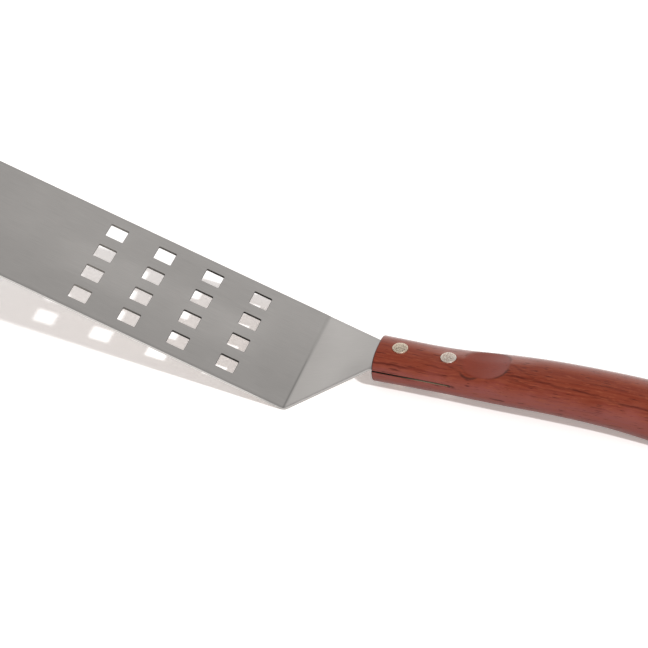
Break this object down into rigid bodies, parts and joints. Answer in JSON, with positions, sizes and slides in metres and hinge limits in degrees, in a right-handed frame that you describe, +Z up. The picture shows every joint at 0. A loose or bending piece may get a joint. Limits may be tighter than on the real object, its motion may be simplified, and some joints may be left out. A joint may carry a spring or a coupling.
{
  "type": "griddle spatula",
  "caption": "Long griddle spatula: a perforated stainless blade with a cranked neck, riveted into a slotted red hardwood handle with a thumb rest.",
  "frame": {"origin": "under the middle of the whole spatula, on the counter that it lies on", "axes": "+X along the tool from blade tip to handle butt, +Y across the blade, +Z up from the counter"},
  "size_m": [0.385, 0.0762, 0.0662],
  "materials": {
    "blade_steel": "satin",
    "handle_wood": "satin",
    "rivet_nickel": "satin"
  },
  "bodies": {
    "root": {"blade": "blade_steel", "handle": "handle_wood", "front_rivet_stud": "rivet_nickel", "front_rivet_socket": "rivet_nickel", "rear_rivet_stud": "rivet_nickel", "rear_rivet_socket": "rivet_nickel"}
  },
  "joints": []
}
